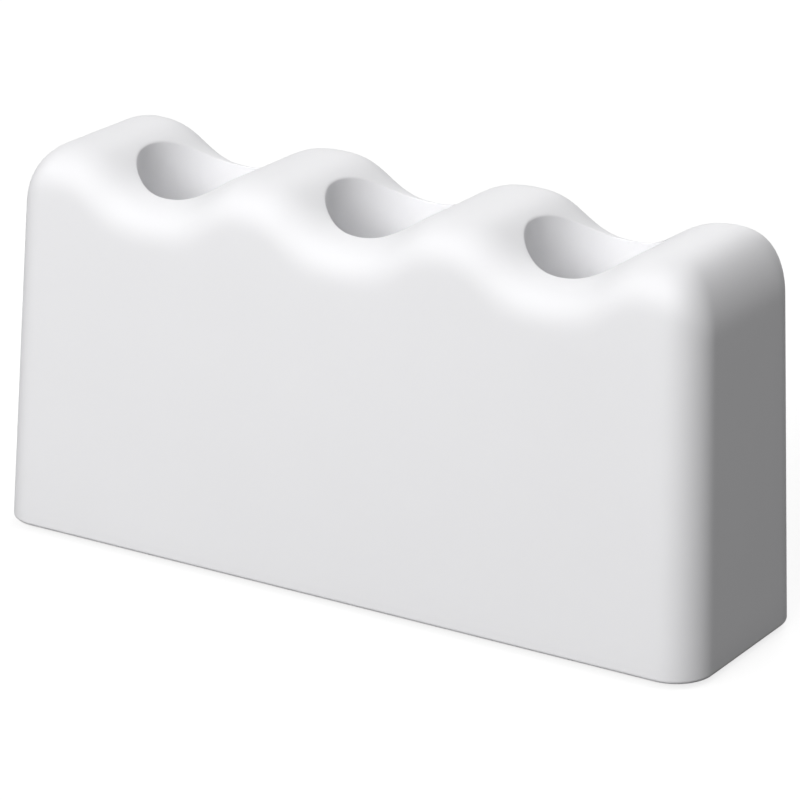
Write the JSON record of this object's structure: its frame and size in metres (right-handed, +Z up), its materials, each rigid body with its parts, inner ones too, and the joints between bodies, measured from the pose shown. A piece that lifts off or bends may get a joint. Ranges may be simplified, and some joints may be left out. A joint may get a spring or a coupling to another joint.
{
  "type": "dip pen stand",
  "caption": "Slim moulded desk stand with a wavy top and a row of round upright sockets for dip pens, weighted and closed by a screwed base plate.",
  "frame": {"origin": "on the table, under the middle of the block, at the bottom of the foot pads", "axes": "+X along the row of sockets, +Y from the front face to the back face, +Z up out of the sockets"},
  "size_m": [0.09, 0.026, 0.0453],
  "materials": {
    "body": "satin white moulded plastic",
    "plate": "matte light grey moulded plastic",
    "ballast": "rolled steel, sawn ends",
    "screw": "bright zinc plated steel",
    "pad": "matte dark grey rubber"
  },
  "bodies": {
    "root": {"body_shell": "body", "base_plate": "plate", "ballast_bar": "ballast", "base_screw_1": "screw", "base_screw_2": "screw", "base_screw_3": "screw", "base_screw_4": "screw", "foot_pad_1": "pad", "foot_pad_2": "pad", "foot_pad_3": "pad", "foot_pad_4": "pad"}
  },
  "joints": []
}
